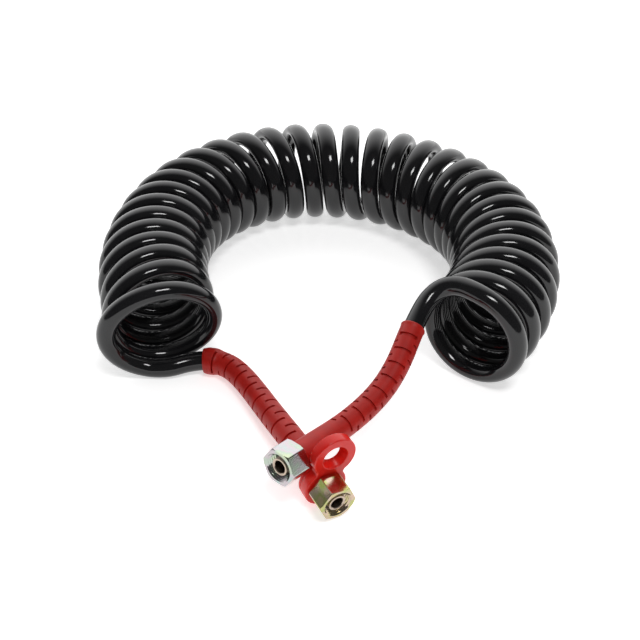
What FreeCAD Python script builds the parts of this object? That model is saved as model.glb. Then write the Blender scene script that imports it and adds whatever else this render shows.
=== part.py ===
"""Coiled air-brake hose with two swivel nut fittings, slotted kink guards and one hanging eye.

Millimetres, +Z up. The hose lies on the plane Z = 0 as it does on a bench: its coil bent into a
horseshoe that opens towards -Y, and its two ends crossing in front of the opening.
"""
import FreeCAD, Part
import math
import os

Vector = FreeCAD.Vector

# Hose tube: 12 x 9 mm polyamide.
TUBE_OD = 12.0
TUBE_ID = 9.0

# Coil: the winding axis is a horseshoe, given by its polar radius about the bend's centre.
TURN_RADIUS = 30.37  # winding axis to the middle of the tube
TUBE_HALF_DEPTH = 4.71  # wound tube is flattened towards the winding axis
COIL_OUTER = TURN_RADIUS + TUBE_HALF_DEPTH
COIL_INNER = TURN_RADIUS - TUBE_HALF_DEPTH
COIL_AXIS_Z = COIL_OUTER
BEND_CENTRE = Vector(-2.0, 20.2, COIL_AXIS_Z)
BEND_RADIUS = 119.1
BEND_STRETCH = 4.7  # the horseshoe is longer than it is wide
BEND_LEAN = -1.8
BEND_START_DEG = -126.5
BEND_END_DEG = 137.0
BEND_RUNS = 20

# Union nut: M16 x 1.5, 19 mm across flats, with a 90 degree seat at its back.
NUT_FLATS = 19.0
NUT_LENGTH = 12.8
NUT_CHAMFER_RADIUS = 9.9
THREAD_MINOR = 14.376
THREAD_MAJOR = 16.0
THREAD_START = 3.6
NUT_WALL = 1.0
NUT_HOLE = 10.8

# Nipple: 24 degree cone nose in the nut, a neck through its back and a barbed stem in the tube.
RUNNING_GAP = 0.06
SEAT_GAP = 0.1
NECK_RADIUS = NUT_HOLE / 2 - RUNNING_GAP
NIPPLE_BORE = 7.0
NOSE_RADIUS = 4.9
NOSE_FRONT = 11.8
NOSE_STRAIGHT = 2.0
FLANGE_RADIUS = 6.9
FLANGE_FRONT = 3.9
STEM_RADIUS = 4.25
BARB_RADIUS = 4.5
BARB_PITCH = 3.0
BARB_COUNT = 3
STEM_END = -12.5
TUBE_END = -1.5  # the tube's cut end, behind the nut

# Cone seal: an O-ring in a groove of the cone.
SEAL_WIRE = 1.5
SEAL_AT = 7.4

# Clamp ferrule: a thin cup pressed over the tube's end.
FERRULE_GAP = 0.4
FERRULE_LENGTH = 12.0
FERRULE_WALL = 0.5
FERRULE_LIP = TUBE_END

# Kink guard: a slotted sleeve over the tube.
GUARD_A_OD = 14.2
GUARD_B_OD = 15.0
GUARD_FIT = 0.05
SLOT_WIDTH = 1.3
SLOT_SPAN_DEG = 102.0
SLOT_FACING = Vector(-0.2, -0.8, 0.57)

# Hanger: a plate round the hose's end with an eye on one side.
HANGER_HUB_RADIUS = 12.2
HANGER_EYE_RADIUS = 12.3
HANGER_HOLE_RADIUS = 6.0
HANGER_REACH = 20.2
HANGER_NECK_FILLET = 2.5
HANGER_THICKNESS = 6.0
HANGER_BOSS_RADIUS = 12.0
HANGER_BOSS_LENGTH = 2.8
HANGER_FRONT = -0.6
HANGER_EYE_DEG = 75.6  # from the horizontal, in the plate

# Each fitting's seat, on its axis at the nut's back face, and where the fitting points.
SEAT_A = Vector(-19.6, -160.3, 30.0)
HEADING_A_DEG = -40.5
RISE_A_DEG = 8.0
NUT_A_DEG = 59.3
SEAT_B = Vector(-3.0, -164.7, 12.2)
HEADING_B_DEG = 28.6
RISE_B_DEG = -3.5
NUT_B_DEG = 52.4

# Each tail's route, from inside the coil's end to the last point before the fitting.
TAIL_A = [
    (72.0, -47.0, 61.0),
    (60.5, -54.5, 57.5),
    (52.2, -62.0, 51.8),
    (45.4, -75.4, 45.6),
    (39.1, -90.9, 38.9),
    (31.1, -104.4, 32.7),
    (22.1, -115.4, 28.8),
    (13.1, -125.0, 26.8),
    (3.6, -134.7, 26.1),
]
GUARD_A_RUN = 2  # the guard starts in the middle of this run
GUARD_A_SLOTS = (12.2, 10.2, 16)  # first slot from the guard's start, pitch, rings
TAIL_B = [
    (-113.5, -58.0, 10.3),
    (-98.9, -56.6, 6.2),
    (-88.0, -52.6, 7.4),
    (-74.5, -51.6, 8.0),
    (-61.8, -57.5, 8.1),
    (-52.4, -69.9, 8.3),
    (-44.2, -84.4, 8.7),
    (-36.2, -100.9, 10.3),
    (-28.0, -117.4, 12.4),
    (-19.8, -133.0, 13.7),
]
GUARD_B_RUN = 2
GUARD_B_SLOTS = (8.8, 13.3, 15)
STRAIGHT_END = -20.0  # the tail is in line with its fitting from here on


def save(name, shape):
    """Write one node and report its size."""
    shape = shape.removeSplitter()
    box = shape.BoundBox
    print(
        f"{name:18s} solids {len(shape.Solids)} valid {shape.isValid()} vol {shape.Volume:9.0f}"
        f"  x {box.XMin:7.1f} {box.XMax:7.1f}  y {box.YMin:7.1f} {box.YMax:7.1f}"
        f"  z {box.ZMin:6.2f} {box.ZMax:6.2f}"
    )
    shape.exportStep(os.path.join("parts", name + ".step"))
    return box


def outward(heading_deg, rise_deg):
    """Unit vector that a fitting points along: heading from -Y towards +X, and rise."""
    heading = math.radians(heading_deg)
    rise = math.radians(rise_deg)
    level = math.cos(rise)
    return Vector(level * math.sin(heading), -level * math.cos(heading), math.sin(rise))


def fitting_frame(seat, heading_deg, rise_deg):
    """Placement of a fitting: local Z points out of the nut and local X is level."""
    out = outward(heading_deg, rise_deg)
    level = Vector(-out.y, out.x, 0).normalize()
    upright = out.cross(level)
    return FreeCAD.Placement(seat, FreeCAD.Rotation(level, upright, out, "ZXY"))


def spin_profile(points):
    """Solid of revolution about local Z from (radius, height) points."""
    corners = [Vector(r, 0, z) for r, z in points]
    face = Part.Face(Part.makePolygon(corners + corners[:1]))
    return face.revolve(Vector(0, 0, 0), Vector(0, 0, 1), 360)


def rounded_route(points, name):
    """Edges of straight runs joined by tangent arcs; each run's straight part is cut in its middle.

    Returns the edges, and where in the list the second half of each run starts.
    """
    points = [Vector(*p) for p in points]
    runs = [(b - a).Length for a, b in zip(points, points[1:])]
    edges = []
    half_starts = []
    radii = []
    at = points[0]
    for i in range(1, len(points)):
        middle = (points[i - 1] + points[i]) * 0.5
        edges.append(Part.LineSegment(at, middle).toShape())
        half_starts.append(len(edges))
        if i == len(points) - 1:
            edges.append(Part.LineSegment(middle, points[i]).toShape())
            break
        before = (points[i] - points[i - 1]).normalize()
        after = (points[i + 1] - points[i]).normalize()
        reach = 0.45 * min(runs[i - 1], runs[i])
        turn = before.getAngle(after)
        radius = reach / math.tan(turn / 2)
        radii.append(radius)
        start = points[i] - before * reach
        end = points[i] + after * reach
        inward = (after - before).normalize()
        centre = points[i] + inward * math.hypot(radius, reach)
        crown = centre - inward * radius
        edges.append(Part.LineSegment(middle, start).toShape())
        edges.append(Part.Arc(start, crown, end).toShape())
        at = end
    length = sum(e.Length for e in edges)
    print(f"{name}: {length:.1f} mm, arc radii " + " ".join(f"{r:.0f}" for r in radii))
    return edges, half_starts


def sweep_round(edges, radius):
    """Solid round bar along a chain of tangent edges."""
    first = edges[0]
    start = first.valueAt(first.FirstParameter)
    heading = first.tangentAt(first.FirstParameter)
    ring = Part.Wire([Part.Circle(start, heading, radius).toShape()])
    return Part.Wire(edges).makePipeShell([ring], True, False)


def pipe(edges, outer, inner, name):
    """Hollow pipe along a chain of tangent edges, checked against its section times its length."""
    shape = sweep_round(edges, outer).cut(sweep_round(edges, inner))
    length = sum(e.Length for e in edges)
    expected = math.pi * (outer**2 - inner**2) * length
    print(f"{name}: swept volume over section times length {shape.Volume / expected:.4f}")
    return shape


def make_coil():
    """The wound part as one fat pipe along the horseshoe."""
    points = []
    for i in range(BEND_RUNS + 1):
        part = i / BEND_RUNS
        angle = math.radians(BEND_START_DEG + (BEND_END_DEG - BEND_START_DEG) * part)
        radius = BEND_RADIUS + BEND_STRETCH * math.cos(2 * angle) + BEND_LEAN * math.sin(3 * angle)
        aside = Vector(math.sin(angle), math.cos(angle), 0)
        points.append(tuple(BEND_CENTRE + aside * radius))
    edges, _ = rounded_route(points, "coil axis")
    return pipe(edges, COIL_OUTER, COIL_INNER, "hose_coil")


def make_nut(turn_deg):
    """Hexagon nut with chamfered corners, a tapped front and a 90 degree seat at the back."""
    corner = NUT_FLATS / math.sqrt(3)
    hexagon = Part.makePolygon(
        [
            Vector(corner, 0, 0) if k % 6 == 0 else FreeCAD.Rotation(Vector(0, 0, 1), 60 * k).multVec(
                Vector(corner, 0, 0)
            )
            for k in range(7)
        ]
    )
    body = Part.Face(hexagon).extrude(Vector(0, 0, NUT_LENGTH))
    slope = math.tan(math.radians(30))
    rise = (corner + 0.5 - NUT_CHAMFER_RADIUS) * slope
    outline = [
        (0, 0),
        (NUT_CHAMFER_RADIUS, 0),
        (corner + 0.5, rise),
        (corner + 0.5, NUT_LENGTH - rise),
        (NUT_CHAMFER_RADIUS, NUT_LENGTH),
        (0, NUT_LENGTH),
    ]
    body = body.common(spin_profile(outline))
    hole = NUT_HOLE / 2
    minor = THREAD_MINOR / 2
    relief = THREAD_MAJOR / 2 + 0.1
    mouth = relief - minor
    bore = spin_profile(
        [
            (0, -1),
            (hole, -1),
            (hole, NUT_WALL),
            (minor, NUT_WALL + minor - hole),
            (minor, NUT_LENGTH - mouth),
            (relief, NUT_LENGTH),
            (relief, NUT_LENGTH + 1),
            (0, NUT_LENGTH + 1),
        ]
    )
    nut = body.cut(bore)
    nut.rotate(Vector(0, 0, 0), Vector(0, 0, 1), turn_deg)
    return nut


def cone_radius(height):
    """Radius of the nipple's 24 degree cone at a height above the nut's back."""
    return NOSE_RADIUS + (NOSE_FRONT - NOSE_STRAIGHT - height) * math.tan(math.radians(12))


def make_nipple():
    """Cone nose, seat flange, neck and barbed stem, bored through."""
    bore = NIPPLE_BORE / 2
    seat_foot = NUT_WALL + SEAT_GAP
    seat_top = seat_foot + FLANGE_RADIUS - NECK_RADIUS
    profile = [
        (bore, NOSE_FRONT),
        (NOSE_RADIUS - 0.4, NOSE_FRONT),
        (NOSE_RADIUS, NOSE_FRONT - 0.4),
        (NOSE_RADIUS, NOSE_FRONT - NOSE_STRAIGHT),
        (cone_radius(FLANGE_FRONT), FLANGE_FRONT),
        (FLANGE_RADIUS, FLANGE_FRONT),
        (FLANGE_RADIUS, seat_top),
        (NECK_RADIUS, seat_foot),
        (NECK_RADIUS, TUBE_END),
        (STEM_RADIUS, TUBE_END),
    ]
    height = TUBE_END - 1.5
    for _ in range(BARB_COUNT):
        profile.append((STEM_RADIUS, height))
        profile.append((BARB_RADIUS, height))
        height -= BARB_PITCH
        profile.append((STEM_RADIUS, height))
    profile += [(STEM_RADIUS, STEM_END), (bore, STEM_END)]
    return spin_profile(profile).cut(make_seal())


def make_seal():
    """O-ring half sunk in the cone."""
    return Part.makeTorus(cone_radius(SEAL_AT) - 0.2, SEAL_WIRE / 2, Vector(0, 0, SEAL_AT))


def make_ferrule():
    """Thin cup: a lip against the tube's end and a skirt pressed on the tube."""
    back = -FERRULE_GAP - FERRULE_LENGTH
    skirt = TUBE_OD / 2 + FERRULE_WALL
    profile = [
        (NECK_RADIUS + RUNNING_GAP, -FERRULE_GAP),
        (skirt - 0.3, -FERRULE_GAP),
        (skirt, -FERRULE_GAP - 0.3),
        (skirt, back),
        (TUBE_OD / 2, back),
        (TUBE_OD / 2, FERRULE_LIP),
        (NECK_RADIUS + RUNNING_GAP, FERRULE_LIP),
    ]
    return spin_profile(profile)


def make_hanger():
    """Plate of two round lobes joined by a filleted waist, with a boss, hub bore and eye hole."""
    fillet = HANGER_NECK_FILLET
    hub = HANGER_HUB_RADIUS
    eye = HANGER_EYE_RADIUS
    reach = HANGER_REACH
    waist_x = ((hub + fillet) ** 2 - (eye + fillet) ** 2 + reach**2) / (2 * reach)
    waist_y = math.sqrt((hub + fillet) ** 2 - waist_x**2)
    back = HANGER_FRONT - HANGER_THICKNESS

    def disc(x, y, radius):
        return Part.makeCylinder(radius, HANGER_THICKNESS, Vector(x, y, back))

    hub_touch = Vector(waist_x, waist_y, 0) * (hub / (hub + fillet))
    eye_touch = Vector(reach, 0, 0) + Vector(waist_x - reach, waist_y, 0) * (eye / (eye + fillet))
    corners = [
        Vector(0, 0, back),
        Vector(hub_touch.x, -hub_touch.y, back),
        Vector(waist_x, -waist_y, back),
        Vector(eye_touch.x, -eye_touch.y, back),
        Vector(reach, 0, back),
        Vector(eye_touch.x, eye_touch.y, back),
        Vector(waist_x, waist_y, back),
        Vector(hub_touch.x, hub_touch.y, back),
    ]
    web = Part.Face(Part.makePolygon(corners + corners[:1])).extrude(Vector(0, 0, HANGER_THICKNESS))
    web = web.cut(disc(waist_x, waist_y, fillet)).cut(disc(waist_x, -waist_y, fillet))
    plate = disc(0, 0, hub).fuse([disc(reach, 0, eye), web]).removeSplitter()
    plate = plate.cut(disc(reach, 0, HANGER_HOLE_RADIUS))
    boss_back = back - HANGER_BOSS_LENGTH
    plate = plate.fuse(Part.makeCylinder(HANGER_BOSS_RADIUS, HANGER_BOSS_LENGTH, Vector(0, 0, boss_back)))
    bore = TUBE_OD / 2 + FERRULE_WALL + GUARD_FIT
    plate = plate.cut(Part.makeCylinder(bore, HANGER_THICKNESS + HANGER_BOSS_LENGTH, Vector(0, 0, boss_back)))
    plate.rotate(Vector(0, 0, 0), Vector(0, 0, 1), HANGER_EYE_DEG)
    return plate


def point_along(edges, distance):
    """Point and heading at a distance along a chain of edges."""
    for edge in edges:
        if distance <= edge.Length:
            at = edge.getParameterByLength(distance)
            return edge.valueAt(at), edge.tangentAt(at)
        distance -= edge.Length
    raise ValueError("past the end of the path")


def slot_cuts(edges, slots):
    """Sector blades in rings half a pitch apart: opposed pairs, each a quarter turn from the last."""
    first, pitch, rings = slots
    cuts = []
    for i in range(rings):
        at, heading = point_along(edges, first + i * pitch / 2)
        facing = SLOT_FACING - heading * SLOT_FACING.dot(heading)
        facing.normalize()
        if i % 2:
            facing = heading.cross(facing)
        for side in (facing, -facing):
            begin = Vector(0, 0, -SLOT_WIDTH / 2)
            blade = Part.makeCylinder(GUARD_B_OD, SLOT_WIDTH, begin, Vector(0, 0, 1), SLOT_SPAN_DEG)
            blade.rotate(Vector(0, 0, 0), Vector(0, 0, 1), -SLOT_SPAN_DEG / 2)
            turn = FreeCAD.Rotation(side, heading.cross(side), heading, "ZXY")
            blade.Placement = FreeCAD.Placement(at, turn).multiply(blade.Placement)
            cuts.append(blade)
    return cuts


def make_guard(edges, outside, slots, placement, front):
    """Kink guard along its edges up to the fitting, slotted, and opened for the ferrule."""
    sleeve = pipe(edges, outside / 2, TUBE_OD / 2 + GUARD_FIT, "guard")
    back = -FERRULE_GAP - FERRULE_LENGTH - GUARD_FIT
    room = Part.makeCylinder(TUBE_OD / 2 + FERRULE_WALL + GUARD_FIT, -back, Vector(0, 0, back))
    clear = Part.makeCylinder(2 * outside, 10, Vector(0, 0, front))
    for tool in (room, clear):
        tool.Placement = placement
    for tool in [room, clear] + slot_cuts(edges, slots):
        sleeve = sleeve.cut(tool)
    # a blade that meets a seam between two pipe sections leaves its chip in the slot
    return max(sleeve.Solids, key=lambda solid: solid.Volume)


def make_end(name, frame, nut_deg, tail, guard_run, guard_od, guard_slots, guard_front):
    """One end of the hose: its tail, kink guard and fitting."""
    in_line = [tuple(frame.multVec(Vector(0, 0, z))) for z in (STRAIGHT_END, TUBE_END)]
    edges, half_starts = rounded_route(tail + in_line, "tail " + name)
    guard = make_guard(edges[half_starts[guard_run] :], guard_od, guard_slots, frame, guard_front)
    boxes = [
        save(f"hose_tail_{name}", pipe(edges, TUBE_OD / 2, TUBE_ID / 2, "tail " + name)),
        save(f"kink_guard_{name}", guard),
    ]
    pieces = {
        f"union_nut_{name}": make_nut(nut_deg),
        f"nipple_{name}": make_nipple(),
        f"cone_seal_{name}": make_seal(),
        f"clamp_ferrule_{name}": make_ferrule(),
    }
    for node, shape in pieces.items():
        shape.Placement = frame.multiply(shape.Placement)
        boxes.append(save(node, shape))
    return boxes


def main():
    os.makedirs("parts", exist_ok=True)
    frame_a = fitting_frame(SEAT_A, HEADING_A_DEG, RISE_A_DEG)
    frame_b = fitting_frame(SEAT_B, HEADING_B_DEG, RISE_B_DEG)
    print("axis a", outward(HEADING_A_DEG, RISE_A_DEG), "axis b", outward(HEADING_B_DEG, RISE_B_DEG))
    boxes = [save("hose_coil", make_coil())]
    boxes += make_end("a", frame_a, NUT_A_DEG, TAIL_A, GUARD_A_RUN, GUARD_A_OD, GUARD_A_SLOTS, HANGER_FRONT)
    behind_hanger = HANGER_FRONT - HANGER_THICKNESS - HANGER_BOSS_LENGTH - 0.1
    boxes += make_end("b", frame_b, NUT_B_DEG, TAIL_B, GUARD_B_RUN, GUARD_B_OD, GUARD_B_SLOTS, behind_hanger)
    hanger = make_hanger()
    hanger.Placement = frame_b.multiply(hanger.Placement)
    boxes.append(save("hanger_collar", hanger))
    eye = FreeCAD.Rotation(Vector(0, 0, 1), HANGER_EYE_DEG).multVec(Vector(HANGER_REACH, 0, 0))
    eye.z = HANGER_FRONT - HANGER_THICKNESS / 2
    print("eye centre", frame_b.multVec(eye))
    whole = boxes[0]
    for box in boxes[1:]:
        whole.add(box)
    print(
        f"whole x {whole.XMin:.2f} {whole.XMax:.2f} y {whole.YMin:.2f} {whole.YMax:.2f}"
        f" z {whole.ZMin:.2f} {whole.ZMax:.2f}"
    )


main()
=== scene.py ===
"""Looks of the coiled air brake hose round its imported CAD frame.

Works in millimetres, and builds in metres.
"""

import math

import bpy
import numpy as np
from mathutils import Matrix, Vector


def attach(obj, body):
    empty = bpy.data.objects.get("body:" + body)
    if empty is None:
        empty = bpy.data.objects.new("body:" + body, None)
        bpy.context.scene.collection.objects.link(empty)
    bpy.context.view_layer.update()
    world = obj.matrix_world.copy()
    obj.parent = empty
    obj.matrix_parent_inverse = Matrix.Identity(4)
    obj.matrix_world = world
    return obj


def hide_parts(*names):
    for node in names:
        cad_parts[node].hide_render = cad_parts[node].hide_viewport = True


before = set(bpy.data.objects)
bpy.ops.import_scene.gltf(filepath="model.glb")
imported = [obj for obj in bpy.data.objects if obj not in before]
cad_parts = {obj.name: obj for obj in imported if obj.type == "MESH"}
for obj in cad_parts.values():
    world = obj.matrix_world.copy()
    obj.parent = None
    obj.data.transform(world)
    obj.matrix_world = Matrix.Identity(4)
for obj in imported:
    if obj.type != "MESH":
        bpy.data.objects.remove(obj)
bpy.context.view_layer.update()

MM = 0.001

# Hose tube: round in the tails, and a little flattened where it is wound
TUBE_RADIUS = 6.0
WOUND_HALF_DEPTH = 4.71
WOUND_HALF_WIDTH = 6.5
TUBE_SIDES = 40
LINE_RESOLUTION = 4

# Winding's axis: a horseshoe seen from above, at angles from +Y, in radians
AXIS_FROM = -2.2542
AXIS_TO = 2.3913
AXIS_STEPS = 2001
AXIS_CENTRE = (-2.0, 20.2)
AXIS_RADIUS = 119.1
AXIS_OVAL = 4.7
AXIS_SHIFT = -0.25
AXIS_LOBES = (-1.8, -0.75)

# Winding: a helix round that axis, tight at its two ends and open in the middle
TURN_RADIUS = 30.37
AXIS_HEIGHT = TURN_RADIUS + WOUND_HALF_DEPTH
TURNS = 31.864
FIRST_PHASE = 2.998
TIGHT_ENDS = 0.1052
OPEN_START = 0.0073
LEAN_TOP = -0.9
LEAN_INNER = 2.1
POINTS_PER_TURN = 16
FIRST_TURN = 0.06
TURNS_FREE_AT_END = 0.36

# A spline lies inside its control points, by this share of their radius
SPLINE_SHRINK = 0.981

# Turns over which the tube goes from round to flattened, at the end and at the start
FLATTENS_END = 0.5
FLATTENS_START = 1.2

# Loose first turns: they lie wider, further out, lower and further to the front, and it fades out
LOOSE_TURNS = 2.1
LOOSE_FADE = 1.5
LOOSE_WIDER = 1.25
LOOSE_OUTWARD = 7.75
LOOSE_LOWER = 2.61
LOOSE_FRONT = 3.0
LOOSE_FRONT_TOP = 5.3
LOOSE_FRONT_INNER = 19.2

# Fittings: seat at the nut's back, heading from -Y towards +X, rise, hexagon's turn
FITTINGS = {
    "a": ((-19.6, -160.3, 30.0), -40.5, 8.0, 59.3),
    "b": ((-3.0, -164.7, 12.2), 28.6, -3.5, 52.4),
}
TUBE_END = -1.5
STRAIGHT_END = -20.0

# Tails, from the coil to the fitting
TAIL_A = [
    (74.8, -53.6, 65.4),
    (65.4, -50.6, 61.6),
    (57.6, -54.6, 56.6),
    (52.2, -62.0, 51.8),
    (45.4, -75.4, 45.6),
    (39.1, -90.9, 38.9),
    (31.1, -104.4, 32.7),
    (22.1, -115.4, 28.8),
    (13.1, -125.0, 26.8),
    (3.6, -134.7, 26.1),
]
TAIL_B = [
    (-98.9, -57.2, 6.2),
    (-88.0, -53.2, 7.4),
    (-74.5, -51.6, 8.0),
    (-61.8, -57.5, 8.1),
    (-52.4, -69.9, 8.3),
    (-44.2, -84.4, 8.7),
    (-36.2, -100.9, 10.3),
    (-28.0, -117.4, 12.4),
    (-19.8, -133.0, 13.7),
]

# Kink guards: outer radius, local height of the end by the fitting, and length. Slots stand on
# alternate sides, half a pitch apart: first one's place and width, pitch, count, half span
GUARDS = {
    "a": {
        "radius": 7.1,
        "end": -0.6,
        "length": 115.9,
        "first": 9.2,
        "first_width": 2.2,
        "pitch": 9.9,
        "slots": 16,
        "half_span_deg": 47,
        "ribs": (1.0,),
        "swell": 0.0,
    },
    "b": {
        "radius": 7.5,
        "end": -9.5,
        "length": 130.4,
        "first": 8.8,
        "first_width": 1.5,
        "pitch": 13.3,
        "slots": 15,
        "half_span_deg": 55,
        "ribs": (),
        "swell": 0.9,
    },
}
GUARD_SIDES = 112
GUARD_BURIED = 5.75
GUARD_ROUNDING = 0.45
RIB_HEIGHT = 0.35
RIB_HALF_WIDTH = 0.7
SWELL_AT = 5.5
SWELL_HALF_WIDTH = 4.5
SLOT_WIDTH = 1.5
SLOT_FLOOR = 6.08
SLOT_FACING = Vector((-0.2, -0.8, 0.57))

# Union nuts: M16 x 1.5
NUT_FLATS = 19.0
NUT_LENGTH = 12.8
NUT_CORNER_WORN = 0.12
NUT_CHAMFER = 9.9
NUT_CHAMFER_DEG = 30
THREAD_MINOR = 7.188
THREAD_DEPTH = 0.75
THREAD_PITCH = 1.5
THREAD_FLANK = 2.3
THREAD_CREST = 0.08
THREAD_START = 3.0
THREAD_RUN_IN = 0.8
THREAD_MOUTH = 0.9

# Nipples
BORE_RADIUS = 3.5
STEM_RADIUS = 4.25
BARB_RADIUS = 4.45
FIRST_BARB = -3.0
BARB_LENGTH = 3.0
BARBS = 3
STEM_END = -12.5

# Hanger collar: hub round fitting B, eye beside it
HUB_RADIUS = 12.2
HUB_HOLE = 6.7
EYE_RADIUS = 12.3
EYE_HOLE = 7.1
EYE_REACH = 20.2
EYE_TURN_DEG = 75.6
WAIST_FILLET = 2.5
HANGER_FRONT = -0.6
HANGER_THICKNESS = 6.0
HANGER_ROUNDING = 0.7


# Shapes ---------------------------------------------------------------------------------------


def add_object(name, data):
    """Object in the scene holding this data."""
    made = bpy.data.objects.new(name, data)
    bpy.context.scene.collection.objects.link(made)
    return made


def shade_smooth(mesh, sharp_deg):
    """Smooth shading, with the edges over this angle kept hard."""
    for face in mesh.polygons:
        face.use_smooth = True
    mesh.set_sharp_from_angle(angle=math.radians(sharp_deg))


def mesh_object(name, points, faces, sharp_deg=35):
    """Smooth-shaded mesh object from points in millimetres."""
    mesh = bpy.data.meshes.new(name)
    mesh.from_pydata([tuple(c * MM for c in p) for p in points], [], faces)
    mesh.update()
    shade_smooth(mesh, sharp_deg)
    return add_object(name, mesh)


def grid_faces(rows, columns, closed_rows=False):
    """Quads between rows of points that each run round in a ring."""
    faces = []
    for i in range(rows if closed_rows else rows - 1):
        here = i * columns
        there = (i + 1) % rows * columns
        for j in range(columns):
            k = (j + 1) % columns
            faces.append((here + j, here + k, there + k, there + j))
    return faces


def lathe(name, profile, matrix, columns=96, radius=None):
    """Closed ring-shaped solid from a closed (radius, height) profile.

    With radius(r, z, angle) given, it turns each profile entry into the radius at that angle.
    """
    points = []
    for r, z in profile:
        for j in range(columns):
            angle = 2 * math.pi * j / columns
            here = radius(r, z, angle) if radius else r
            points.append(matrix @ Vector((here * math.cos(angle), here * math.sin(angle), z)))
    return mesh_object(name, points, grid_faces(len(profile), columns, closed_rows=True))


def fitting_matrix(end):
    """Fitting's place in millimetres: local Z points out of the nut and local X is level."""
    seat, heading_deg, rise_deg, _ = FITTINGS[end]
    heading = math.radians(heading_deg)
    rise = math.radians(rise_deg)
    out = Vector(
        (
            math.cos(rise) * math.sin(heading),
            -math.cos(rise) * math.cos(heading),
            math.sin(rise),
        )
    )
    level = Vector((-out.y, out.x, 0)).normalized()
    turn = Matrix((level, out.cross(level), out)).transposed()
    return Matrix.Translation(seat) @ turn.to_4x4()


# Hose's line ----------------------------------------------------------------------------------


def bend_axis():
    """Points of the winding's axis, and the share of its length up to each."""
    angle = np.linspace(AXIS_FROM, AXIS_TO, AXIS_STEPS)
    radius = AXIS_RADIUS + AXIS_OVAL * np.cos(2 * angle) + AXIS_SHIFT * np.sin(angle)
    radius += AXIS_LOBES[0] * np.sin(3 * angle) + AXIS_LOBES[1] * np.cos(3 * angle)
    x = radius * np.sin(angle) + AXIS_CENTRE[0]
    y = radius * np.cos(angle) + AXIS_CENTRE[1]
    step = np.hypot(np.diff(x), np.diff(y))
    share = np.concatenate([[0], np.cumsum(step)])
    return x, y, share / share[-1]


AXIS_X, AXIS_Y, AXIS_SHARE = bend_axis()


def on_axis(share):
    """Place on the winding's axis at a share of its length."""
    return np.array([np.interp(share, AXIS_SHARE, AXIS_X), np.interp(share, AXIS_SHARE, AXIS_Y)])


def winding_point(turn):
    """Control point of the winding after some turns, and the direction out from its axis."""
    part = turn / TURNS
    share = part - TIGHT_ENDS * math.sin(2 * math.pi * part) / (2 * math.pi)
    share += OPEN_START * (part - part**2)
    centre = on_axis(share)
    ahead = on_axis(min(share + 0.001, 1)) - on_axis(max(share - 0.001, 0))
    ahead /= np.linalg.norm(ahead)
    along = Vector((ahead[0], ahead[1], 0))
    inward = Vector((ahead[1], -ahead[0], 0))
    phase = FIRST_PHASE + 2 * math.pi * turn
    up = math.cos(phase)
    side = math.sin(phase)
    loose = max(0.0, 1 - turn / LOOSE_TURNS) ** LOOSE_FADE
    radius = TURN_RADIUS / SPLINE_SHRINK
    move_in = radius * side + loose * (LOOSE_WIDER * side - LOOSE_OUTWARD)
    move_up = radius * up - loose * LOOSE_LOWER * (up + 1)
    move_along = LEAN_TOP * up + LEAN_INNER * side
    move_along -= loose * (LOOSE_FRONT + LOOSE_FRONT_TOP * up + LOOSE_FRONT_INNER * side)
    point = Vector((centre[0], centre[1], AXIS_HEIGHT)) + inward * move_in + along * move_along
    point.z += move_up
    return point, inward * side + Vector((0, 0, up))


def tail_points(end, route):
    """Tail's control points, of which the last two are on the fitting's axis."""
    place = fitting_matrix(end)
    in_line = [place @ Vector((0, 0, z)) for z in (STRAIGHT_END, TUBE_END)]
    return [Vector(p) for p in route] + in_line


def hose_route():
    """Control points from fitting A to fitting B, directions out, and how wound each one is."""
    tail_a = tail_points("a", TAIL_A)
    tail_b = tail_points("b", TAIL_B)
    last = TURNS - TURNS_FREE_AT_END
    turns = np.linspace(last, FIRST_TURN, round(last * POINTS_PER_TURN))
    winding = [winding_point(turn) for turn in turns]
    first_out = winding[0][1]
    last_out = winding[-1][1]
    points = tail_a[::-1] + [p for p, _ in winding] + tail_b
    outs = [first_out] * len(tail_a) + [o for _, o in winding] + [last_out] * len(tail_b)
    wound = [0.0] * len(tail_a)
    wound += [min(1.0, (last - turn) / FLATTENS_END, turn / FLATTENS_START) for turn in turns]
    wound += [0.0] * len(tail_b)
    return points, outs, wound


def spline_points(points):
    """Points along a NURBS spline with these control points, in millimetres."""
    curve = bpy.data.curves.new("hose_line", "CURVE")
    curve.dimensions = "3D"
    spline = curve.splines.new("NURBS")
    spline.points.add(len(points) - 1)
    for control, point in zip(spline.points, points):
        control.co = (point.x * MM, point.y * MM, point.z * MM, 1)
    spline.order_u = 3
    spline.use_endpoint_u = True
    spline.resolution_u = LINE_RESOLUTION
    line = add_object("hose_line", curve)
    mesh = bpy.data.meshes.new_from_object(line)
    found = [v.co / MM for v in mesh.vertices]
    bpy.data.objects.remove(line)
    bpy.data.curves.remove(curve)
    bpy.data.meshes.remove(mesh)
    return found


def tangents(line):
    """Unit direction at each point of a line."""
    pairs = zip([line[0]] + line[:-1], line[1:] + [line[-1]])
    return [(after - before).normalized() for before, after in pairs]


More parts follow.
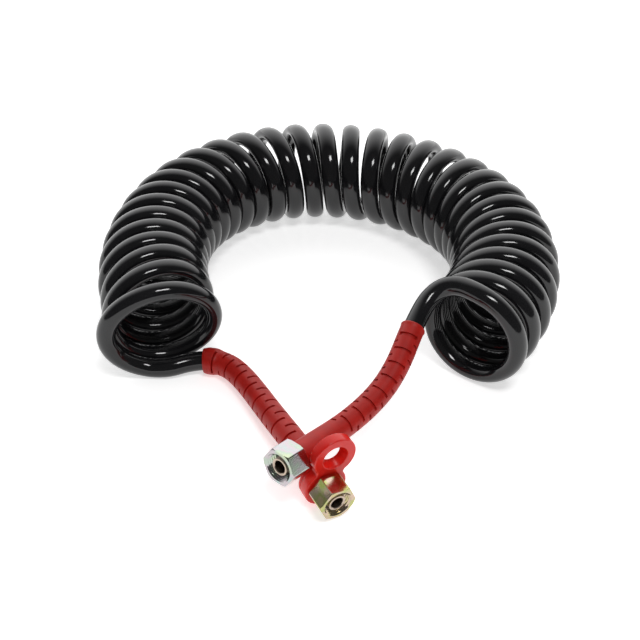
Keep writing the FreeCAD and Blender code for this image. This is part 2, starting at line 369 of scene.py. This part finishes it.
def make_hose():
    """Tube of changing section along the whole route. Returns the object and its centreline."""
    points, outs, wound = hose_route()
    line = spline_points(points)
    # Number of the control point that each point of the line is nearest to, in fractions
    at = np.linspace(0.5, len(points) - 1.5, len(line))
    index = np.arange(len(points))
    out_xyz = np.array([tuple(o) for o in outs])
    out_at = np.stack([np.interp(at, index, out_xyz[:, k]) for k in range(3)], axis=1)
    wound_at = np.interp(at, index, wound)
    ring = []
    for point, heading, out, share in zip(line, tangents(line), out_at, wound_at):
        out = Vector(out)
        out = (out - heading * out.dot(heading)).normalized()
        side = heading.cross(out)
        depth = TUBE_RADIUS + (WOUND_HALF_DEPTH - TUBE_RADIUS) * share
        width = TUBE_RADIUS + (WOUND_HALF_WIDTH - TUBE_RADIUS) * share
        for j in range(TUBE_SIDES):
            angle = 2 * math.pi * j / TUBE_SIDES
            ring.append(point + out * (depth * math.cos(angle)) + side * (width * math.sin(angle)))
    faces = grid_faces(len(line), TUBE_SIDES)
    last = (len(line) - 1) * TUBE_SIDES
    faces.append(tuple(range(TUBE_SIDES - 1, -1, -1)))
    faces.append(tuple(range(last, last + TUBE_SIDES)))
    return mesh_object("hose", ring, faces), line


# Kink guards ----------------------------------------------------------------------------------


def guard_slots(guard):
    """Place and half width of each slot along the guard."""
    centres = [guard["first"] + i * guard["pitch"] / 2 for i in range(guard["slots"])]
    halves = [guard["first_width"] / 2] + [SLOT_WIDTH / 2] * (guard["slots"] - 1)
    return list(zip(centres, halves))


def guard_rows(length, slots):
    """Places of the rings of points: every millimetre, and close together at each edge."""
    rows = list(np.arange(0.0, length, 1.0)) + [length]
    rows += [0.15, 0.4, length - 0.4, length - 0.15]
    for centre, half in slots:
        rows = [s for s in rows if abs(s - centre) > half + 0.35]
        for edge in (half, half + 0.02, half + 0.3):
            rows += [centre - edge, centre + edge]
    return sorted({round(s, 6) for s in rows if 0 <= s <= length})


def make_guard(end, line):
    """Slotted sleeve over the end of a line that runs towards this fitting."""
    guard = GUARDS[end]
    length = guard["length"]
    slots = guard_slots(guard)
    steps = np.array([0.0] + [(b - a).length for a, b in zip(line, line[1:])])
    distance = np.cumsum(steps)
    start = distance[-1] - TUBE_END + guard["end"] - length
    xyz = np.array([tuple(p) for p in line])
    heads = np.array([tuple(t) for t in tangents(line)])
    points = []

    def add_ring(s, radius_at):
        d = start + s
        centre = Vector([np.interp(d, distance, xyz[:, k]) for k in range(3)])
        heading = Vector([np.interp(d, distance, heads[:, k]) for k in range(3)]).normalized()
        facing = (SLOT_FACING - heading * SLOT_FACING.dot(heading)).normalized()
        side = heading.cross(facing)
        for j in range(GUARD_SIDES):
            angle = 2 * math.pi * j / GUARD_SIDES
            radius = radius_at(angle)
            around = facing * (radius * math.cos(angle)) + side * (radius * math.sin(angle))
            points.append(centre + around)

    def outer(s):
        inside_edge = max(0.0, GUARD_ROUNDING - min(s, length - s))
        rounding = GUARD_ROUNDING - math.sqrt(max(0.0, GUARD_ROUNDING**2 - inside_edge**2))
        skin = guard["radius"] - rounding
        for rib in guard["ribs"]:
            skin += RIB_HEIGHT * math.exp(-(((s - rib) / RIB_HALF_WIDTH) ** 2))
        skin += guard["swell"] * math.exp(-(((s - SWELL_AT) / SWELL_HALF_WIDTH) ** 4))
        cut = [i for i, (centre, half) in enumerate(slots) if abs(s - centre) <= half + 0.01]

        def radius_at(angle):
            for i in cut:
                away = angle - (math.pi / 2 if i % 2 else 0)
                fold = abs((away + math.pi / 2) % math.pi - math.pi / 2)
                if fold < math.radians(guard["half_span_deg"]):
                    return SLOT_FLOOR
            return skin

        return radius_at

    rows = guard_rows(length, slots)
    for s in rows:
        add_ring(s, outer(s))
    inner_rows = np.linspace(length, 0, 40)
    for s in inner_rows:
        add_ring(s, lambda angle: GUARD_BURIED)
    faces = grid_faces(len(rows) + len(inner_rows), GUARD_SIDES, closed_rows=True)
    return mesh_object(f"guard_{end}", points, faces, sharp_deg=40)


# Fittings -------------------------------------------------------------------------------------


def make_nut(end):
    """Union nut: hexagon cut by two chamfer cones, threaded inside, in one closed skin."""
    turn = math.radians(FITTINGS[end][3])
    slope = math.tan(math.radians(NUT_CHAMFER_DEG))

    def hexagon(z, angle):
        fold = (angle - turn) % (math.pi / 3) - math.pi / 6
        flat = NUT_FLATS / 2 / math.cos(fold)
        corner = NUT_FLATS / math.sqrt(3) - NUT_CORNER_WORN
        chamfer = NUT_CHAMFER + min(z, NUT_LENGTH - z) / slope
        return min(flat, corner, chamfer)

    def thread(z, angle):
        wave = (z / THREAD_PITCH - angle / (2 * math.pi)) % 1
        groove = min(1, max(0, THREAD_FLANK * abs(wave - 0.5) - THREAD_CREST))
        fade = min(1.0, max(0.0, (z - THREAD_START) / THREAD_RUN_IN))
        mouth = max(0.0, z - (NUT_LENGTH - THREAD_MOUTH))
        return THREAD_MINOR + max(THREAD_DEPTH * groove * fade, mouth)

    def radius(r, z, angle):
        if r == "hexagon":
            return hexagon(z, angle)
        if r == "thread":
            return thread(z, angle)
        return r

    profile = [("hexagon", z) for z in np.linspace(0, 0.7, 8)]
    profile += [("hexagon", z) for z in np.linspace(1.2, NUT_LENGTH - 1.2, 9)]
    profile += [("hexagon", z) for z in np.linspace(NUT_LENGTH - 0.7, NUT_LENGTH, 8)]
    profile += [(9.2, NUT_LENGTH), (8.2, NUT_LENGTH)]
    profile += [("thread", z) for z in np.arange(NUT_LENGTH, THREAD_START - 0.1, -0.1)]
    profile += [(THREAD_MINOR, 2.8), (5.4, 1.0), (5.4, 0.1), (5.5, 0.0), (8.0, 0.0)]
    return lathe(f"nut_{end}", profile, fitting_matrix(end), columns=240, radius=radius)


def make_nipple(end):
    """Cone-nosed nipple with a seat flange and a barbed stem, bored through."""
    profile = [
        (BORE_RADIUS, 11.4),
        (3.9, 11.8),
        (4.5, 11.8),
        (4.8, 11.68),
        (4.9, 11.4),
        (4.9, 9.8),
        (6.15, 3.9),
        (6.9, 3.9),
        (6.9, 2.66),
        (5.34, 1.1),
        (5.34, TUBE_END),
        (STEM_RADIUS, TUBE_END),
        (STEM_RADIUS, FIRST_BARB),
    ]
    for k in range(BARBS):
        top = FIRST_BARB - BARB_LENGTH * k
        profile += [(BARB_RADIUS, top), (STEM_RADIUS, top - BARB_LENGTH)]
    profile += [(STEM_RADIUS, STEM_END), (BORE_RADIUS, STEM_END)]
    return lathe(f"nipple_{end}_turned", profile, fitting_matrix(end))


def hanger_matrix():
    """Hanger's place in millimetres: fitting B's, with local X towards the eye."""
    return fitting_matrix("b") @ Matrix.Rotation(math.radians(EYE_TURN_DEG), 4, "Z")


def make_hanger():
    """Collar plate: two round lobes and a filleted waist, with softly rounded edges."""
    hub_reach = HUB_RADIUS + WAIST_FILLET
    eye_reach = EYE_RADIUS + WAIST_FILLET
    waist = (hub_reach**2 - eye_reach**2 + EYE_REACH**2) / (2 * EYE_REACH)
    rise = math.sqrt(hub_reach**2 - waist**2)
    hub_angle = math.atan2(rise, waist)
    eye_angle = math.atan2(rise, waist - EYE_REACH)
    half_turn = math.pi
    full_turn = 2 * math.pi

    def arc(x, y, r, start, stop, count):
        return [
            (x + r * math.cos(a), y + r * math.sin(a)) for a in np.linspace(start, stop, count)
        ]

    def fillet(y, start, stop):
        return arc(waist, y, WAIST_FILLET, start, stop, 16)[1:-1]

    outline = arc(0, 0, HUB_RADIUS, hub_angle, full_turn - hub_angle, 72)
    outline += fillet(-rise, half_turn - hub_angle, half_turn - eye_angle)
    outline += arc(EYE_REACH, 0, EYE_RADIUS, -eye_angle, eye_angle, 72)
    outline += fillet(rise, half_turn + eye_angle, half_turn + hub_angle)
    eye_hole = arc(EYE_REACH, 0, EYE_HOLE, full_turn, 0, 97)[:-1]
    hub_hole = arc(0, 0, HUB_HOLE, full_turn, 0, 97)[:-1]
    curve = bpy.data.curves.new("hanger", "CURVE")
    curve.dimensions = "2D"
    curve.fill_mode = "BOTH"
    curve.extrude = (HANGER_THICKNESS / 2 - HANGER_ROUNDING) * MM
    curve.bevel_depth = HANGER_ROUNDING * MM
    curve.bevel_resolution = 4
    curve.offset = -HANGER_ROUNDING * MM
    for loop in (outline, eye_hole, hub_hole):
        spline = curve.splines.new("POLY")
        spline.points.add(len(loop) - 1)
        for corner, (x, y) in zip(spline.points, loop):
            corner.co = (x * MM, y * MM, 0, 1)
        spline.use_cyclic_u = True
    flat = add_object("hanger_outline", curve)
    mesh = bpy.data.meshes.new_from_object(flat)
    bpy.data.objects.remove(flat)
    middle = HANGER_FRONT - HANGER_THICKNESS / 2
    place = hanger_matrix() @ Matrix.Translation((0, 0, middle))
    place.translation *= MM
    mesh.transform(place)
    shade_smooth(mesh, 40)
    return add_object("hanger", mesh)


def make_hanger_boss():
    """Boss behind the collar plate's hub, with a shallow groove where they meet."""
    profile = [
        (6.6, -6.0),
        (11.3, -6.0),
        (11.3, -6.9),
        (11.75, -7.3),
        (12.0, -7.8),
        (12.0, -8.7),
        (11.8, -9.15),
        (11.3, -9.4),
        (6.6, -9.4),
    ]
    return lathe("hanger_boss", profile, fitting_matrix("b"))


def make_eye_lip():
    """Tapered wall of the hanger's eye, narrower at the back."""
    place = hanger_matrix() @ Matrix.Translation((EYE_REACH, 0, 0))
    profile = [(7.0, -1.6), (5.3, -5.8), (5.5, -6.3), (7.6, -6.4), (7.6, -1.6)]
    return lathe("eye_lip", profile, place)


# Materials ------------------------------------------------------------------------------------


def grainy(name, colours, roughness, spread, metallic, grain, bump, shine=0.5):
    """Principled material with colour, roughness and surface grain varied by noise."""
    material = bpy.data.materials.new(name)
    material.use_nodes = True
    nodes = material.node_tree.nodes
    links = material.node_tree.links
    shader = nodes["Principled BSDF"]
    place = nodes.new("ShaderNodeTexCoord")
    noise = nodes.new("ShaderNodeTexNoise")
    noise.inputs["Scale"].default_value = grain
    noise.inputs["Detail"].default_value = 4
    links.new(place.outputs["Object"], noise.inputs["Vector"])
    tint = nodes.new("ShaderNodeValToRGB")
    ramp = tint.color_ramp
    while len(ramp.elements) < len(colours):
        ramp.elements.new(0.5)
    for k, (stop, colour) in enumerate(zip(np.linspace(0.32, 0.68, len(colours)), colours)):
        ramp.elements[k].position = stop
        ramp.elements[k].color = (*colour, 1)
    links.new(noise.outputs["Fac"], tint.inputs["Fac"])
    links.new(tint.outputs["Color"], shader.inputs["Base Color"])
    rough = nodes.new("ShaderNodeMapRange")
    rough.inputs["To Min"].default_value = roughness - spread
    rough.inputs["To Max"].default_value = roughness + spread
    links.new(noise.outputs["Fac"], rough.inputs["Value"])
    links.new(rough.outputs["Result"], shader.inputs["Roughness"])
    fine = nodes.new("ShaderNodeTexNoise")
    fine.inputs["Scale"].default_value = grain * 12
    links.new(place.outputs["Object"], fine.inputs["Vector"])
    relief = nodes.new("ShaderNodeBump")
    relief.inputs["Strength"].default_value = bump
    relief.inputs["Distance"].default_value = 0.0001
    links.new(fine.outputs["Fac"], relief.inputs["Height"])
    links.new(relief.outputs["Normal"], shader.inputs["Normal"])
    shader.inputs["Metallic"].default_value = metallic
    shader.inputs["Specular IOR Level"].default_value = shine
    return material


def plastic(name, colours, roughness, spread, grain, bump, shine=0.5):
    """Grainy material that is no metal."""
    return grainy(name, colours, roughness, spread, 0, grain, bump, shine)


def plated(name, colours, roughness, spread, grain, bump):
    """Grainy metal."""
    return grainy(name, colours, roughness, spread, 1, grain, bump)


BLACK = [(0.006, 0.006, 0.007), (0.009, 0.009, 0.010)]
RUBBER = [(0.010, 0.010, 0.010), (0.018, 0.018, 0.018)]
GUARD_RED = [(0.38, 0.008, 0.004), (0.46, 0.011, 0.006)]
HANGER_RED = [(0.66, 0.010, 0.006), (0.74, 0.014, 0.008)]
COOL_ZINC = [(0.46, 0.52, 0.36), (0.40, 0.47, 0.40), (0.48, 0.42, 0.45), (0.40, 0.47, 0.46)]
WARM_ZINC = [(0.58, 0.47, 0.28), (0.42, 0.46, 0.16), (0.58, 0.45, 0.37), (0.52, 0.45, 0.24)]
TURNED_STEEL = [(0.44, 0.36, 0.28), (0.54, 0.44, 0.36)]
PRESSED_STEEL = [(0.62, 0.61, 0.58), (0.74, 0.73, 0.70)]

LOOKS = {
    "hose": plastic("hose", BLACK, 0.10, 0.02, 60, 0.05),
    "guard": plastic("guard", GUARD_RED, 0.44, 0.06, 140, 0.35, shine=0.3),
    "hanger": plastic("hanger", HANGER_RED, 0.26, 0.04, 90, 0.15, shine=0.4),
    "nut_a": plated("nut_a", COOL_ZINC, 0.15, 0.04, 110, 0.2),
    "nut_b": plated("nut_b", WARM_ZINC, 0.15, 0.04, 110, 0.2),
    "nipple": plated("nipple", TURNED_STEEL, 0.30, 0.05, 160, 0.2),
    "ferrule": plated("ferrule", PRESSED_STEEL, 0.30, 0.05, 160, 0.2),
    "seal": plastic("seal", RUBBER, 0.5, 0.05, 300, 0.3),
}


def dress(piece, look, body, *stands_for):
    """Give a piece its material, body and the CAD nodes that it stands for."""
    piece.data.materials.clear()
    piece.data.materials.append(LOOKS[look])
    if body:
        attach(piece, body)
    if stands_for:
        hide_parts(*stands_for)


# Studio: sizes and places in metres -----------------------------------------------------------

CAMERA_PLACE = (-0.00639, -0.54577, 0.40276)
CAMERA_DIP_DEG = 36.389
CAMERA_LENS = 57.55
SENSOR_WIDTH = 36
FLOOR_HALF = 6.0
FLOOR_GLOW = 0.6
LAMP_PLACE = (0.25, -0.7, 1.5)
LAMP_SIZE = (0.54, 0.32)
LAMP_WATTS = 9

# Room's brightness, and how far back each one is reached
ROOM_DIM, ROOM_DIM_AT = 0.1, -0.05
ROOM_BRIGHT, ROOM_BRIGHT_AT = 1.8, 0.78


def make_camera():
    """Camera at the photograph's viewing angle."""
    camera = bpy.data.cameras.new("camera")
    camera.sensor_width = SENSOR_WIDTH
    camera.lens = CAMERA_LENS
    eye = add_object("camera", camera)
    eye.location = CAMERA_PLACE
    eye.rotation_euler = (math.radians(90 - CAMERA_DIP_DEG), 0, 0)
    bpy.context.scene.camera = eye


def make_floor():
    """Plain white table, faintly lit from within."""
    h = FLOOR_HALF
    mesh = bpy.data.meshes.new("floor")
    mesh.from_pydata([(-h, -h, 0), (h, -h, 0), (h, h, 0), (-h, h, 0)], [], [(0, 1, 2, 3)])
    floor = add_object("floor", mesh)
    white = bpy.data.materials.new("floor")
    white.use_nodes = True
    shader = white.node_tree.nodes["Principled BSDF"]
    shader.inputs["Base Color"].default_value = (0.9, 0.9, 0.9, 1)
    shader.inputs["Roughness"].default_value = 0.9
    shader.inputs["Specular IOR Level"].default_value = 0.1
    shader.inputs["Emission Color"].default_value = (1, 1, 1, 1)
    shader.inputs["Emission Strength"].default_value = FLOOR_GLOW
    mesh.materials.append(white)


def make_room():
    """White surroundings, dim in front and bright behind the object."""
    world = bpy.data.worlds.new("room")
    world.use_nodes = True
    nodes = world.node_tree.nodes
    links = world.node_tree.links
    place = nodes.new("ShaderNodeTexCoord")
    split = nodes.new("ShaderNodeSeparateXYZ")
    links.new(place.outputs["Generated"], split.inputs["Vector"])
    behind = nodes.new("ShaderNodeMapRange")
    behind.interpolation_type = "SMOOTHSTEP"
    behind.inputs["From Min"].default_value = ROOM_DIM_AT
    behind.inputs["From Max"].default_value = ROOM_BRIGHT_AT
    behind.inputs["To Min"].default_value = ROOM_DIM
    behind.inputs["To Max"].default_value = ROOM_BRIGHT
    links.new(split.outputs["Y"], behind.inputs["Value"])
    nodes["Background"].inputs["Color"].default_value = (1, 1, 1, 1)
    links.new(behind.outputs["Result"], nodes["Background"].inputs["Strength"])
    bpy.context.scene.world = world


def make_softbox():
    """Softbox above the front right, aimed at the object."""
    light = bpy.data.lights.new("key", "AREA")
    light.shape = "RECTANGLE"
    light.size, light.size_y = LAMP_SIZE
    light.energy = LAMP_WATTS
    lamp = add_object("key", light)
    lamp.location = LAMP_PLACE
    lamp.rotation_euler = (-Vector(LAMP_PLACE)).to_track_quat("-Z", "Y").to_euler()


# Assembly -------------------------------------------------------------------------------------


def main():
    bpy.context.scene.view_settings.view_transform = "Standard"
    make_camera()
    make_floor()
    make_room()
    make_softbox()
    hose, line = make_hose()
    dress(hose, "hose", "hose", "hose_coil", "hose_tail_a", "hose_tail_b")
    guard_a = make_guard("a", line[::-1])
    dress(guard_a, "guard", "hose", "kink_guard_a")
    guard_b = make_guard("b", line)
    dress(guard_b, "guard", "hose", "kink_guard_b")
    hanger = make_hanger()
    dress(hanger, "hanger", "hose", "hanger_collar")
    boss = make_hanger_boss()
    dress(boss, "hanger", "hose")
    lip = make_eye_lip()
    dress(lip, "hanger", "hose")
    fitted = [guard_a, guard_b, hanger, boss, lip]
    for end in FITTINGS:
        nut = make_nut(end)
        dress(nut, f"nut_{end}", f"nut_{end}", f"union_nut_{end}")
        nipple = make_nipple(end)
        dress(nipple, "nipple", "hose", f"nipple_{end}")
        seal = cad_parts[f"cone_seal_{end}"]
        dress(seal, "seal", None)
        shade_smooth(seal.data, 35)
        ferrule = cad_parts[f"clamp_ferrule_{end}"]
        dress(ferrule, "ferrule", None)
        shade_smooth(ferrule.data, 35)
        fitted += [nut, nipple, seal, ferrule]


main()
